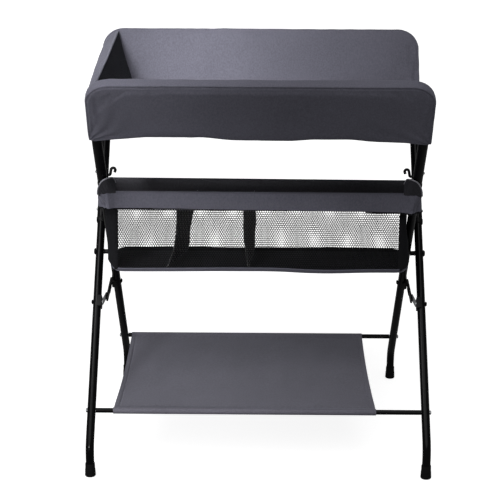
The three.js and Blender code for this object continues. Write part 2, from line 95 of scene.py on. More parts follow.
bpy.ops.object.select_all(action="DESELECT")
bpy.ops.mesh.primitive_plane_add(size=40, location=(0, 12, -0.0005))
floor = bpy.context.object
floor.name = "studio_floor"
bpy.ops.object.transform_apply(location=True, rotation=True, scale=True)
floor_paint = bpy.data.materials.new("studio_floor_paint")
floor_paint.use_nodes = True
floor_shader = floor_paint.node_tree.nodes["Principled BSDF"]
floor_shader.inputs["Base Color"].default_value = (0.62, 0.62, 0.62, 1)
floor_shader.inputs["Roughness"].default_value = 0.9
floor_shader.inputs["Specular IOR Level"].default_value = 0.0
floor_shader.inputs["Emission Color"].default_value = (1, 1, 1, 1)
floor_shader.inputs["Emission Strength"].default_value = 0.84
floor.visible_diffuse = False
floor.visible_glossy = False
floor.data.materials.append(floor_paint)

world = bpy.data.worlds.new("pale_studio")
world.use_nodes = True
world.node_tree.nodes["Background"].inputs["Color"].default_value = (1.0, 1.0, 1.0, 1)
world.node_tree.nodes["Background"].inputs["Strength"].default_value = 0.18
bpy.context.scene.world = world
bpy.context.scene.view_settings.view_transform = "Standard"


def aim(name, light, place, target):
    holder = bpy.data.objects.new(name, light)
    bpy.context.scene.collection.objects.link(holder)
    holder.location = place
    holder.rotation_euler = (Vector(target) - Vector(place)).to_track_quat("-Z", "Y").to_euler()


sky = bpy.data.lights.new("overhead_bank", "SUN")
sky.energy = 1.29
sky.angle = math.radians(60)
aim("overhead_bank", sky, (-0.4, -1.4, 1.8), (0, 0, 0))
key = bpy.data.lights.new("key_lamp", "AREA")
key.size = 0.7
key.energy = 7
aim("key_lamp", key, (-1.1, -0.8, 1.75), (-0.1, 0.3, 0.80))
for name, power, spread, softness, place, target in (
        ("rear_wall_spot", 284, 19, 0.25, (-0.75, -1.5, 1.9), (-0.17, 0.3, 0.84)),
        ("shelf_spot", 370, 15, 0.35, (-1.0, -2.6, 0.95), (-0.15, 0.18, 0.245))):
    spot = bpy.data.lights.new(name, "SPOT")
    spot.energy = power
    spot.spot_size = math.radians(spread)
    spot.spot_blend = 1.0
    spot.shadow_soft_size = softness
    aim(name, spot, place, target)

# ---- Legs ------------------------------------------------------------------------------------------
# Four legs of 19 mm steel tube, bent upright at the foot on a bender and powder coated gloss black.
# Two legs and a bow make a frame. The outer frame runs from the front feet to the rear bow, and the inner
# one crosses it at the pivot, from the rear feet to the front bow.
leg_radius = 0.0095
foot_bend_height = 0.069
foot_bend_radius = 0.060
pivot = (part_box("pivot_spacer_left")[0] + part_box("pivot_spacer_right")[1]) / 2
lean = math.radians(39.85)


def middle(node):
    low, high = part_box(node)
    return (low + high) / 2


frames = {
    "outer": {"side": 1, "spacing": middle("outer_leg_right").x, "body": "outer_frame", "bow": "rear",
              "rail": "front", "sleeve": 0.500, "button": 0.517},
    "inner": {"side": -1, "spacing": middle("inner_leg_right").x, "body": "inner_frame", "bow": "front",
              "rail": "rear", "sleeve": 0.645, "button": 0.675},
}
hands = {"left": -1, "right": 1}


def leg_point(part, x, z):
    return Vector((x, part["side"] * (z - pivot.z) * math.tan(lean), z))


def start_finish(name, settings):
    """A new finish with the shader's fixed settings, and the place that its patterns follow."""
    finish = bpy.data.materials.new(name)
    finish.use_nodes = True
    shader = finish.node_tree.nodes["Principled BSDF"]
    for socket, value in settings.items():
        shader.inputs[socket].default_value = value
    return finish, add_node(finish, "TexCoord").outputs["Object"]


def add_node(finish, kind, settings=None, **feeds):
    node = finish.node_tree.nodes.new("ShaderNode" + kind)
    for socket, value in (settings or {}).items():
        node.inputs[socket].default_value = value
    for socket, source in feeds.items():
        finish.node_tree.links.new(source, node.inputs[socket])
    return node


def bumps(finish, strength, distance, **feeds):
    return add_node(finish, "Bump", {"Strength": strength, "Distance": distance}, **feeds).outputs["Normal"]


def spread(finish, source, low, high, start=0, end=1):
    settings = {"From Min": start, "From Max": end, "To Min": low, "To Max": high}
    return add_node(finish, "MapRange", settings, Value=source).outputs["Result"]


def tones(finish, source, *stops):
    ramp = add_node(finish, "ValToRGB", Fac=source)
    for element, (position, colour) in zip(ramp.color_ramp.elements, stops):
        element.position = position
        element.color = (*colour, 1)
    return ramp.outputs["Color"]


def complete(finish, colour, normal, rough=None):
    shader = finish.node_tree.nodes["Principled BSDF"]
    finish.node_tree.links.new(colour, shader.inputs["Base Color"])
    finish.node_tree.links.new(normal, shader.inputs["Normal"])
    if rough:
        finish.node_tree.links.new(rough, shader.inputs["Roughness"])
    return finish


def paint_material(name, colour, rough, coat):
    """Powder coat: a fine orange peel, and a haze where it has been handled."""
    paint, place = start_finish(name, {"Specular IOR Level": 0.06, "Coat Weight": coat, "Coat Roughness": 0.08})
    peel = add_node(paint, "TexNoise", {"Scale": 900, "Detail": 2}, Vector=place).outputs["Fac"]
    handling = add_node(paint, "TexNoise", {"Scale": 14, "Detail": 6}, Vector=place).outputs["Fac"]
    tone = tones(paint, handling, (0.3, colour), (0.8, [c * 1.9 + 0.002 for c in colour]))
    haze = spread(paint, handling, rough, rough + 0.16, 0.35, 0.75)
    return complete(paint, tone, bumps(paint, 0.07, 0.0002, Height=peel), haze)


black_paint = paint_material("gloss_black_powder_coat", (0.0012, 0.0012, 0.0015), 0.20, 0.12)


def pick(piece):
    """Selects one piece and nothing else."""
    bpy.ops.object.select_all(action="DESELECT")
    piece.select_set(True)
    bpy.context.view_layer.objects.active = piece


def close_up(threshold=1e-5):
    """Joins the open seams of the piece in edit mode, fills its ends and turns its faces outwards."""
    bpy.ops.mesh.select_all(action="SELECT")
    bpy.ops.mesh.remove_doubles(threshold=threshold)
    bpy.ops.mesh.fill_holes(sides=0)
    bpy.ops.mesh.normals_make_consistent(inside=False)
    bpy.ops.object.mode_set(mode="OBJECT")


def settle(piece, name, material, body, slot, *nodes, smooth=40):
    """Names a finished piece, puts its place into its mesh, and says what it moves with and stands for."""
    if bpy.context.mode != "OBJECT":
        bpy.ops.object.mode_set(mode="OBJECT")
    pick(piece)
    bpy.ops.object.transform_apply(location=True, rotation=True, scale=True)
    bpy.ops.object.shade_smooth_by_angle(angle=math.radians(smooth))
    piece.name = name
    piece.data.name = name
    piece.data.materials.clear()
    piece.data.materials.append(material)
    if body:
        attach(piece, body)
    if nodes:
        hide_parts(*nodes)
    return piece


def bend_tube(start, heading, radius, moves, sides=28):
    """A tube end is drawn forward and bent round, move by move, as it leaves a tube bender."""
    here, heading = Vector(start), Vector(heading).normalized()
    bpy.ops.object.select_all(action="DESELECT")
    bpy.ops.mesh.primitive_circle_add(
        vertices=sides, radius=radius, location=here, rotation=heading.to_track_quat("Z", "Y").to_euler())
    tube = bpy.context.object
    bpy.ops.object.transform_apply(location=True, rotation=True, scale=True)
    bpy.ops.object.mode_set(mode="EDIT")
    for move in moves:
        if move[0] == "run":
            bpy.ops.mesh.extrude_region_move(TRANSFORM_OT_translate={"value": heading * move[1]})
            here = here + heading * move[1]
        else:
            _, angle, bend_radius, axis = move
            axis = Vector(axis)
            centre = here + axis.cross(heading) * math.copysign(bend_radius, angle)
            steps = max(3, round(abs(math.degrees(angle)) / 6))
            bpy.ops.mesh.spin(steps=steps, angle=-angle, center=centre, axis=axis)
            turn = Quaternion(axis, angle)
            here = centre + turn @ (here - centre)
            heading = turn @ heading
    close_up()
    return tube


for name, part in frames.items():
    for hand, sign in hands.items():
        x = sign * part["spacing"]
        straight = foot_bend_height - foot_bend_radius * math.tan(lean / 2)
        bottom = Vector((x, leg_point(part, x, foot_bend_height).y, 0.006))
        half_bend = foot_bend_radius * math.tan(lean / 2)
        bend_end = leg_point(part, x, foot_bend_height + half_bend * math.cos(lean))
        top = leg_point(part, x, part["sleeve"] + 0.05)
        leg = bend_tube(bottom, (0, 0, 1), leg_radius, [
            ("run", straight - bottom.z),
            ("bend", -part["side"] * lean, foot_bend_radius, (1, 0, 0)),
            ("run", (top - bend_end).length),
        ])
        settle(leg, f"{name}_leg_tube_{hand}", black_paint, part["body"], "black_paint", f"{name}_leg_{hand}")

# ---- Bows -------------------------------------------------------------------------------------------
# The two upside-down U tubes that carry the bed, 22 mm across, so that their ends sleeve over the legs.
# They are bent a little more upright above the bed, and then square across the top.
bow_radius = 0.011
bow_corner = 0.038
wall_lean = math.radians(31)
wall_bend_height = 0.753
wall_bend_radius = 0.080
cover_overhang = 0.016
wall_top = 0.901


def wall_point(part, x, z):
    foot = leg_point(part, x, wall_bend_height)
    rise = z - wall_bend_height
    return foot + Vector((0, part["side"] * rise * math.tan(wall_lean), rise))


for name, part in frames.items():
    half = part["spacing"]
    side = part["side"]
    start = leg_point(part, -half, part["sleeve"])
    up_leg = (leg_point(part, 0, 1) - leg_point(part, 0, 0)).normalized()
    up_wall = Vector((0, side * math.sin(wall_lean), math.cos(wall_lean)))
    across = Vector((1, 0, 0))
    face = across.cross(up_wall)
    knee = lean - wall_lean
    knee_length = wall_bend_radius * math.tan(knee / 2)
    leg_run = (leg_point(part, -half, wall_bend_height) - start).length - knee_length
    top_height = wall_top - cover_overhang * math.cos(wall_lean)
    wall_run = (wall_point(part, 0, top_height) - wall_point(part, 0, wall_bend_height)).length
    wall_run -= knee_length + bow_corner
    bow = bend_tube(start, up_leg, bow_radius, [
        ("run", leg_run),
        ("bend", side * knee, wall_bend_radius, (1, 0, 0)),
        ("run", wall_run),
        ("bend", -math.pi / 2, bow_corner, face),
        ("run", 2 * (half - bow_corner)),
        ("bend", -math.pi / 2, bow_corner, face),
        ("run", wall_run),
        ("bend", -side * knee, wall_bend_radius, (1, 0, 0)),
        ("run", leg_run),
    ])
    settle(bow, f"{part['bow']}_bow_tube", black_paint, part["body"], "black_paint", f"{part['bow']}_bow")

# ---- Crossbars --------------------------------------------------------------------------------------
# Two lower rails and two basket bars, all 11 mm tube in the same gloss black.
# Each is cut square and bolted between a pair of legs through its ends.
bar_radius = 0.0055
for part in frames.values():
    for bar in (f"{part['rail']}_lower_rail", f"{part['bow']}_basket_bar"):
        low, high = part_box(bar)
        centre = (low + high) / 2
        start = (low.x, centre.y, centre.z)
        rod = bend_tube(start, (1, 0, 0), bar_radius, [("run", high.x - low.x)], sides=24)
        settle(rod, f"{bar}_tube", black_paint, part["body"], "black_paint", bar)

# ---- Foot caps --------------------------------------------------------------------------------------
# Soft black rubber caps pushed over the leg ends, with a flared sole and three grip rings.
# Rubber shows as a dull grey-black with scuffs near the sole.


def soft_black(name, colour, rough, grain, grain_depth):
    """Rubber or moulded plastic: an even grain, with paler scuffs."""
    finish, place = start_finish(name, {"Specular IOR Level": 0.16})
    grains = add_node(finish, "TexNoise", {"Scale": grain, "Detail": 4}, Vector=place).outputs["Fac"]
    scuff_settings = {"Scale": 35, "Detail": 8, "Roughness": 0.7}
    scuffs = add_node(finish, "TexNoise", scuff_settings, Vector=place).outputs["Fac"]
    tone = tones(finish, scuffs, (0.45, colour), (0.75, [c * 2.2 + 0.003 for c in colour]))
    rub = spread(finish, scuffs, rough - 0.08, rough + 0.12)
    return complete(finish, tone, bumps(finish, 0.5, grain_depth, Height=grains), rub)


rubber = soft_black("black_rubber_dull", (0.0030, 0.0030, 0.0032), 0.78, 420, 0.0004)


def turn_on_lathe(profile, place, axis, sides=32):
    """Rings of (height, radius) drawn up one axis, as on a lathe, and closed at both ends."""
    bpy.ops.object.select_all(action="DESELECT")
    bpy.ops.mesh.primitive_circle_add(vertices=sides, radius=profile[0][1], location=(0, 0, profile[0][0]))
    turned = bpy.context.object
    bpy.ops.object.transform_apply(location=True, rotation=True, scale=True)
    bpy.ops.object.mode_set(mode="EDIT")
    for (height, radius), (next_height, next_radius) in zip(profile, profile[1:]):
        bpy.ops.mesh.extrude_region_move(TRANSFORM_OT_translate={"value": (0, 0, next_height - height)})
        grow = next_radius / radius
        bpy.ops.transform.resize(value=(grow, grow, 1), center_override=(0, 0, next_height))
    close_up(1e-6)
    facing = Vector(axis).to_track_quat("Z", "Y").to_matrix().to_4x4()
    turned.matrix_world = Matrix.Translation(place) @ facing
    return turned


foot_profile = [(0.0, 0.0098), (0.0006, 0.0112), (0.0022, 0.0121), (0.0060, 0.0121), (0.0075, 0.0115),
                (0.0090, 0.0119), (0.0110, 0.0119), (0.0125, 0.0113), (0.0140, 0.0117), (0.0160, 0.0117),
                (0.0175, 0.0111), (0.0290, 0.0109), (0.0308, 0.0105), (0.0308, 0.0098), (0.0052, 0.0098)]
for name, part in frames.items():
    for hand, sign in hands.items():
        foot_y = leg_point(part, 0, foot_bend_height).y
        cap = turn_on_lathe(foot_profile, (sign * part["spacing"], foot_y, 0.0002), (0, 0, 1), sides=40)
        settle(cap, f"{name}_foot_cap_{hand}", rubber, part["body"], "black_rubber", f"{name}_foot_{hand}")

# ---- Sleeve collars and snap buttons ----------------------------------------------------------------
# Where a bow slides over a leg, a moulded black collar closes the mouth of the sleeve.
# A spring button of plated steel pokes out through both tubes and holds them together.
plastic = soft_black("black_moulded_plastic", (0.0030, 0.0030, 0.0034), 0.48, 1400, 0.00015)
collar_profile = [(-0.0130, 0.0098), (-0.0130, 0.0106), (-0.0122, 0.0112), (-0.0075, 0.0119), (-0.0060, 0.0121),
                  (-0.0010, 0.0121), (-0.0004, 0.0117), (-0.0004, 0.0098), (-0.0130, 0.0098)]


def plated_steel(name, tint):
    """Bright plating: a faint spangle under smears."""
    steel, place = start_finish(name, {"Metallic": 1.0})
    spangle = add_node(steel, "TexVoronoi", {"Scale": 260}, Vector=place).outputs["Distance"]
    smear = add_node(steel, "TexNoise", {"Scale": 70, "Detail": 6}, Vector=place).outputs["Fac"]
    tone = tones(steel, spangle, (0, [c * 0.72 for c in tint]), (1, tint))
    return complete(steel, tone, bumps(steel, 0.2, 0.0001, Height=smear), spread(steel, smear, 0.22, 0.48))


zinc = plated_steel("zinc_plated_steel", (0.62, 0.63, 0.65))
button_profile = [(0.0018, 0.0030), (0.0018, 0.0046), (0.0034, 0.0046), (0.0034, 0.0032), (0.0115, 0.0032),
                  (0.0124, 0.0028), (0.0131, 0.0020), (0.0135, 0.0008)]
for name, part in frames.items():
    for hand, sign in hands.items():
        x = sign * part["spacing"]
        up_leg = leg_point(part, 0, 1) - leg_point(part, 0, 0)
        collar = turn_on_lathe(collar_profile, leg_point(part, x, part["sleeve"]), up_leg)
        settle(collar, f"{name}_collar_ring_{hand}", plastic, part["body"], "black_plastic",
               f"{name}_sleeve_collar_{hand}")
        button = turn_on_lathe(button_profile, leg_point(part, x, part["button"]), (sign, 0, 0), sides=24)
        settle(button, f"{name}_snap_button_{hand}_tip", zinc, f"{name}_button_{hand}", "zinc_steel",
               f"{name}_snap_button_{hand}")

# ---- Bolts and pivots -------------------------------------------------------------------------------
# Domed socket-head bolts hold the crossbars and the stays, plated on the bars and black on the stays.
# The legs turn on a thick black rivet with a moulded spacer between the tubes.


def bolt(node, shank, head, head_height, facing, material, body, slot):
    low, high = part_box(node)
    centre = (low + high) / 2
    tip = high.x if facing > 0 else low.x
    seat = head_height + 0.0003
    length = high.x - low.x
    profile = [(seat - length, shank * 0.8), (seat - length + 0.0008, shank), (0.0003, shank),
               (0.0003, head * 0.94), (0.0007, head), (0.0003 + head_height * 0.4, head),
               (0.0003 + head_height * 0.72, head * 0.86),
               (0.0003 + head_height * 0.93, head * 0.62), (seat, head * 0.5), (seat - 0.0002, head * 0.42),
               (seat - head_height * 0.6, head * 0.4)]
    place = (tip, centre.y, centre.z)
    made = turn_on_lathe([(h - seat, r) for h, r in profile], place, (facing, 0, 0), sides=24)
    settle(made, f"{node}_head", material, body, slot, node)


for name, part in frames.items():
    for hand, sign in hands.items():
        bolt(f"{part['rail']}_rail_bolt_{hand}", 0.0025, 0.005, 0.0032, sign, zinc, part["body"], "zinc_steel")
        bolt(f"{part['bow']}_bar_bolt_{hand}", 0.0025, 0.005, 0.0032, sign, zinc, part["body"], "zinc_steel")
        away = sign if name == "outer" else -sign
        bolt(f"{name}_stay_bolt_{hand}", 0.003, 0.0055, 0.0034, away, black_paint, part["body"], "black_paint")

for hand, sign in hands.items():
    low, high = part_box(f"pivot_rivet_{hand}")
    tip = Vector((high.x if sign > 0 else low.x, pivot.y, pivot.z))
    length = high.x - low.x
    rivet = turn_on_lathe([
        (-length, 0.0022), (-length + 0.0006, 0.0044), (-length + 0.0020, 0.0064), (-length + 0.0034, 0.0070),
        (-length + 0.0034, 0.0040), (-0.0042, 0.0040), (-0.0042, 0.0075), (-0.0026, 0.0075), (-0.0012, 0.0062),
        (-0.0003, 0.0036), (0.0, 0.0012)], tip, (sign, 0, 0), sides=28)
    settle(rivet, f"pivot_rivet_{hand}_shank", black_paint, "centre", "black_paint", f"pivot_rivet_{hand}")
    low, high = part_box(f"pivot_spacer_{hand}")
    near = Vector((low.x if sign > 0 else high.x, pivot.y, pivot.z))
    width = high.x - low.x
    spacer = turn_on_lathe([
        (0, 0.0044), (0, 0.0060), (0.0004, 0.0062), (0.0016, 0.0058), (0.0022, 0.0054), (width - 0.0022, 0.0054),
        (width - 0.0016, 0.0058), (width - 0.0004, 0.0062), (width, 0.0060), (width, 0.0044), (0, 0.0044)],
        near, (sign, 0, 0), sides=28)
    settle(spacer, f"pivot_spacer_{hand}_ring", plastic, "centre", "black_plastic", f"pivot_spacer_{hand}")

# ---- Fold stays and basket hooks ----------------------------------------------------------------------
# Stamped links: a plated one on the outer leg and a black one, with a sliding latch, on the inner leg.
# The saddles, the latch pads and the basket hooks are moulded plastic. Every edge is rounded over.


def round_over(node, name, material, slot, radius, segments=3):
    mesh = frame["nodes"][node].data.copy()
    piece = bpy.data.objects.new(name, mesh)
    bpy.context.scene.collection.objects.link(piece)
    pick(piece)
    bpy.ops.object.mode_set(mode="EDIT")
    bpy.ops.mesh.select_all(action="SELECT")
    bpy.ops.mesh.remove_doubles(threshold=1e-5)
    bpy.ops.mesh.dissolve_limited(angle_limit=math.radians(1))
    bpy.ops.object.mode_set(mode="OBJECT")
    edge = piece.modifiers.new("edge", "BEVEL")
    edge.width = radius
    edge.segments = segments
    edge.limit_method = "ANGLE"
    edge.angle_limit = math.radians(32)
    edge.use_clamp_overlap = True
    bpy.ops.object.modifier_apply(modifier=edge.name)
    body = frame["nodes"][node]["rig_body"]
    return settle(piece, name, material, body, slot, node, smooth=35)


for hand in hands:
    round_over(f"stay_silver_link_{hand}", f"stay_silver_plate_{hand}", zinc, "zinc_steel", 0.0005)
    round_over(f"stay_black_link_{hand}", f"stay_black_plate_{hand}", black_paint, "black_paint", 0.0008)
    round_over(f"stay_latch_{hand}", f"stay_latch_pad_{hand}", plastic, "black_plastic", 0.0004)
    low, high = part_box(f"basket_hook_{hand}")
    sign = hands[hand]
    wall = Vector(((high.x if sign > 0 else low.x), (low.y + high.y) / 2 - 0.002, low.z + 0.001))
    hook = bend_tube(wall, (-sign, 0, 0), 0.0034, [
        ("run", 0.0010), ("bend", sign * math.radians(80), 0.0040, (0, 1, 0)), ("run", 0.0100),
        ("bend", -sign * math.radians(195), 0.0052, (0, 1, 0)), ("run", 0.0035)], sides=16)
    settle(hook, f"basket_hook_rod_{hand}", plastic, "outer_frame", "black_plastic", f"basket_hook_{hand}")
    for name in frames:
        round_over(f"{name}_stay_bracket_{hand}", f"{name}_stay_saddle_{hand}", plastic, "black_plastic", 0.0010)

# ---- Padded walls -------------------------------------------------------------------------------------
# Each wall is a boxed cover of slate-grey woven polyester, pulled over its bow and stuffed with thin foam.
# The cover is swollen by a cloth simulation, and its two boxing seams and corner creases are then drawn in.
cover_thickness = 0.024
cover_corner = 0.050
cover_hem = 0.760


def woven_cloth(name, colour, turn=(0, 0, 0), thread=0.0009, crease=0.0022, mottle=0.16, sheen=0.25):
    """Plain-woven cloth. Its threads run along X and along Z once the pattern has been turned."""
    cloth, place = start_finish(name, {
        "Roughness": 0.82, "Specular IOR Level": sheen, "Sheen Weight": sheen, "Sheen Roughness": 0.45,
        "Sheen Tint": (0.75, 0.77, 0.9, 1)})
    turned = add_node(cloth, "Mapping", {"Rotation": turn}, Vector=place).outputs["Vector"]
    over_under = add_node(cloth, "Math")
    over_under.operation = "ADD"
    for socket, direction in enumerate("XZ"):
        wave_settings = {"Scale": 0.314 / (2 * thread), "Distortion": 0.6, "Detail": 1, "Detail Scale": 0.4}
        wave = add_node(cloth, "TexWave", wave_settings, Vector=turned)
        wave.bands_direction = direction
        cloth.node_tree.links.new(wave.outputs["Fac"], over_under.inputs[socket])
    weave = bumps(cloth, 0.45, 0.00018, Height=over_under.outputs["Value"])
    crease_settings = {"Scale": 11, "Detail": 3, "Distortion": 0.8}
    creases = add_node(cloth, "TexNoise", crease_settings, Vector=turned).outputs["Fac"]
    crumple = bumps(cloth, 0.55, crease, Height=creases, Normal=weave)
    stretched = add_node(cloth, "Mapping", {"Scale": (1.3, 1, 0.9)}, Vector=turned).outputs["Vector"]
    slubs = add_node(cloth, "TexNoise", {"Scale": 260, "Detail": 3}, Vector=stretched).outputs["Fac"]
    blotch = add_node(cloth, "TexNoise", {"Scale": 7, "Detail": 5}, Vector=turned).outputs["Fac"]
    both = add_node(cloth, "Mix", {"Factor": 0.38}, A=slubs, B=blotch).outputs["Result"]
    dark, light = [c * (1 - mottle) for c in colour], [c * (1 + mottle) for c in colour]
    tone = tones(cloth, both, (0.35, dark), (0.65, light))
    return complete(cloth, tone, crumple)


def pick_edges(piece, test):
    """Selects, in edit mode, the edges whose two ends both pass the test."""
    bpy.ops.mesh.select_mode(type="EDGE")
    bpy.ops.mesh.select_all(action="DESELECT")
    bpy.ops.object.mode_set(mode="OBJECT")
    for edge in piece.data.edges:
        edge.select = all(test(piece.data.vertices[i].co) for i in edge.vertices)
    bpy.ops.object.mode_set(mode="EDIT")


def stuffed_slab(low, high, corner, edge, voxel):
    """A slab between two corners, its upper corners rounded to `corner` and its rims to `edge`."""
    bpy.ops.object.select_all(action="DESELECT")
    bpy.ops.mesh.primitive_cube_add(size=1)
    piece = bpy.context.object
    bpy.ops.object.mode_set(mode="EDIT")
    bpy.ops.transform.resize(value=Vector(high) - Vector(low))
    bpy.ops.transform.translate(value=(Vector(high) + Vector(low)) / 2)
    if corner:
        for side in (-1, 1):
            pick_edges(piece, lambda co: co.z > high[2] - 1e-5 and co.x * side > high[0] - 1e-5)
            bpy.ops.mesh.bevel(offset=corner, segments=10, affect="EDGES")
    bpy.ops.mesh.select_all(action="DESELECT")
    bpy.ops.mesh.edges_select_sharp(sharpness=math.radians(50))
    bpy.ops.mesh.bevel(offset=edge, segments=3, affect="EDGES")
    bpy.ops.object.mode_set(mode="OBJECT")
    piece.data.remesh_voxel_size = voxel
    bpy.ops.object.voxel_remesh()
    return piece


def swell(piece, pressure, limit, is_held=None, frames=20):
    """Blows the cover up from inside, as its filling does. No point moves further than `limit`, and the
    cloth keeps only a part of the movement, as it does once it has been ironed."""
    scene = bpy.context.scene
    scene.frame_set(1)
    cloth = piece.modifiers.new("cloth", "CLOTH")
    cloth.settings.use_pressure = True
    cloth.settings.uniform_pressure_force = pressure
    cloth.settings.effector_weights.gravity = 0
    cloth.settings.shrink_min = -0.03
    if is_held:
        held = piece.vertex_groups.new(name="held")
        held.add([v.index for v in piece.data.vertices if is_held(v.co)], 1.0, "REPLACE")
        cloth.settings.vertex_group_mass = held.name
    cloth.point_cache.frame_end = frames
    for step in range(1, frames + 1):
        scene.frame_set(step)
    swollen = piece.evaluated_get(bpy.context.evaluated_depsgraph_get()).data
    moves = [new.co - old.co for new, old in zip(swollen.vertices, piece.data.vertices)]
    piece.modifiers.remove(cloth)
    kept_by_ironing = 0.55
    for vertex, move in zip(piece.data.vertices, moves):
        vertex.co += kept_by_ironing * move * min(1, limit / max(move.length, 1e-9))
    piece.vertex_groups.clear()
    scene.frame_set(1)


def subdivide_once(piece):
    pick(piece)
    smoother = piece.modifiers.new("smoother", "SUBSURF")
    smoother.levels = smoother.render_levels = 1
    bpy.ops.object.modifier_apply(modifier=smoother.name)


def reshape(piece, move):
    """Shifts every point by what `move` gives for its place and its outward direction."""
    normals = [Vector(n.vector) for n in piece.data.vertex_normals]
    for vertex, normal in zip(piece.data.vertices, normals):
        vertex.co += move(vertex.co.copy(), normal)
    piece.data.update()


def ease(t):
    """A soft step from 0 to 1 as t runs from 0 to 1."""
    t = max(0.0, min(1.0, t))
    return t * t * (3 - 2 * t)


def bell(distance, width):
    """1 on a seam or a fold, and fading out to either side of it."""
    return math.exp(-(distance / width) ** 2)


def stray(size, x, y, z):
    """The uneven way cloth lies, up to about `size` either way."""
    return size * noise.noise((x, y, z))


slate = (0.111, 0.109, 0.139)
for name, part in frames.items():
    half = part["spacing"] + cover_overhang
    crown = 0.8985 if part["bow"] == "front" else 0.9035
    base = leg_point(part, 0, wall_bend_height)
    tilt = Matrix.Translation(base) @ Matrix.Rotation(-part["side"] * wall_lean, 4, "X")
    low_s = (cover_hem - wall_bend_height) / math.cos(wall_lean)
    high_s = (crown - wall_bend_height) / math.cos(wall_lean)
    depth = cover_thickness / 2 + 0.0008
    cover = stuffed_slab((-half, -depth, low_s), (half, depth, high_s), cover_corner, 0.004, 0.0045)

    def from_outline(x, s):
        """How far inside the cover's rounded outline a point is."""
        dx, ds = half - abs(x), high_s - s
        if dx < cover_corner and ds < cover_corner:
            return cover_corner - math.hypot(cover_corner - dx, cover_corner - ds)
        return min(dx, ds)

    swell(cover, 4.0, 0.0050, lambda co: from_outline(co.x, co.z) < 0.012)
    subdivide_once(cover)

    # The front cover was pulled up unevenly when it was sewn to the bed floor.
    drawn_up = [(-0.40, 0.009), (-0.30, 0.0095), (-0.22, 0.013), (-0.13, 0.0125), (-0.05, 0.007),
                (0.06, 0.006), (0.12, 0.0115), (0.18, 0.012), (0.25, 0.0055), (0.40, 0.003)]

    def dress(co, normal):
        x, y, s = co
        flat = abs(normal.y)
        inside = from_outline(x, s)
        seam = -0.0020 * bell(inside - 0.0045, 0.0019) * flat
        from_corner = Vector((half - abs(x), s - low_s))
        reach = from_corner.length
        fan = math.atan2(from_corner.y, max(from_corner.x, 1e-6))
        wobble = stray(1, x * 9, s * 9, 3.1 * part["side"])
        fold = math.sin(fan * 13 + 5 * wobble + (0 if x < 0 else 1.3))
        fold *= 0.0017 * ease(reach / 0.02) * math.exp(-reach / 0.075) * flat
        billow = stray(0.0016, x * 5.5, s * 8, 7.7 + part["side"]) * flat
        crumple = stray(0.0008, x * 38, s * 38, y * 38) * (1 - ease((inside - 0.002) / 0.03))
        near_hem = 1 - ease((s - low_s) / 0.055)
        arch = 0.0038 * bell(x + 0.19, 0.12) - 0.0035 * (abs(x) / half) ** 10
        arch += stray(0.0012, x * 11, 0.5, part["side"])
        if part["bow"] == "front":
            for (x0, lift0), (x1, lift1) in zip(drawn_up, drawn_up[1:]):
                if x0 <= x < x1:
                    arch += lift0 + (lift1 - lift0) * ease((x - x0) / (x1 - x0))
        return normal * (seam + fold + billow + crumple) + Vector((0, 0, arch * near_hem))

    reshape(cover, dress)
    cover.matrix_world = tilt
    node = f"{part['bow']}_wall"
    wall_cloth = woven_cloth(f"slate_cloth_{node}", slate, (part["side"] * wall_lean, 0, 0))
    settle(cover, f"{node}_cover", wall_cloth, part["body"], "grey_fabric", node, smooth=60)

# ---- Bed floor ----------------------------------------------------------------------------------------
# The baby lies on two thin padded halves that meet over the fold line.
# Same slate cloth, quilted with two sewn channels along each half.
floor_cloth = woven_cloth("slate_cloth_bed_floor", slate, (math.pi / 2, 0, 0))
for side, body in ((-1, "inner_frame"), (1, "outer_frame")):
    node = "bed_floor_front" if side < 0 else "bed_floor_rear"
    low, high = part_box(node)
    pad = stuffed_slab((low.x + 0.002, low.y + 0.001, low.z + 0.002),
                       (high.x - 0.002, high.y - 0.001, high.z - 0.002), 0, 0.003, 0.0055)
    swell(pad, 3.0, 0.0035)
    subdivide_once(pad)

    def quilt(co, normal):
        channel = min(abs(abs(co.y) - 0.085), abs(abs(co.y) - 0.170))
        border = min(co.x - low.x, high.x - co.x, co.y - low.y, high.y - co.y)
        press = 0.0030 * bell(channel, 0.0035) + 0.0016 * bell(border - 0.008, 0.0025)
        pucker = stray(0.0007, co.x * 55, co.y * 14, side) + stray(0.0012, co.x * 6, co.y * 6, 2)
        return normal * (pucker - press) * abs(normal.z)

    reshape(pad, quilt)
    settle(pad, f"{node}_pad", floor_cloth, None, "grey_fabric", node, smooth=60)
    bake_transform(pad)

# ---- End wall -----------------------------------------------------------------------------------------
# One sheet closes the left end from bow to bow, curving in over the rounded bow corners to a bound top edge.
# It is the same slate cloth in a double layer, in two pieces that meet at the middle.
end_low, end_arcs = 0.762, (math.radians(53), math.radians(72))


def lay_grid(across, along, shape):
    """A flat grid of cloth put in place by shape(u, t), where u and t run from 0 to 1 across and along it."""
    bpy.ops.object.select_all(action="DESELECT")
    bpy.ops.mesh.primitive_grid_add(x_subdivisions=across, y_subdivisions=along, size=2)
    piece = bpy.context.object
    for vertex in piece.data.vertices:
        vertex.co = shape((vertex.co.x + 1) / 2, (vertex.co.y + 1) / 2)
    piece.data.update()
    return piece


def thicken(piece, thickness):
    pick(piece)
    layer = piece.modifiers.new("layer", "SOLIDIFY")
    layer.thickness = thickness
    layer.offset = 0
    bpy.ops.object.modifier_apply(modifier=layer.name)
    bpy.ops.object.mode_set(mode="EDIT")
    bpy.ops.mesh.select_all(action="SELECT")
    bpy.ops.mesh.normals_make_consistent(inside=False)
    bpy.ops.object.mode_set(mode="OBJECT")
    return piece


def sew(name, across, along, shape, thickness, cloth, body, slot, *nodes):
    """A grid of cloth laid out by `shape`, given its thickness, named and fixed."""
    piece = thicken(lay_grid(across, along, shape), thickness)
    return settle(piece, name, cloth, body, slot, *nodes, smooth=60)


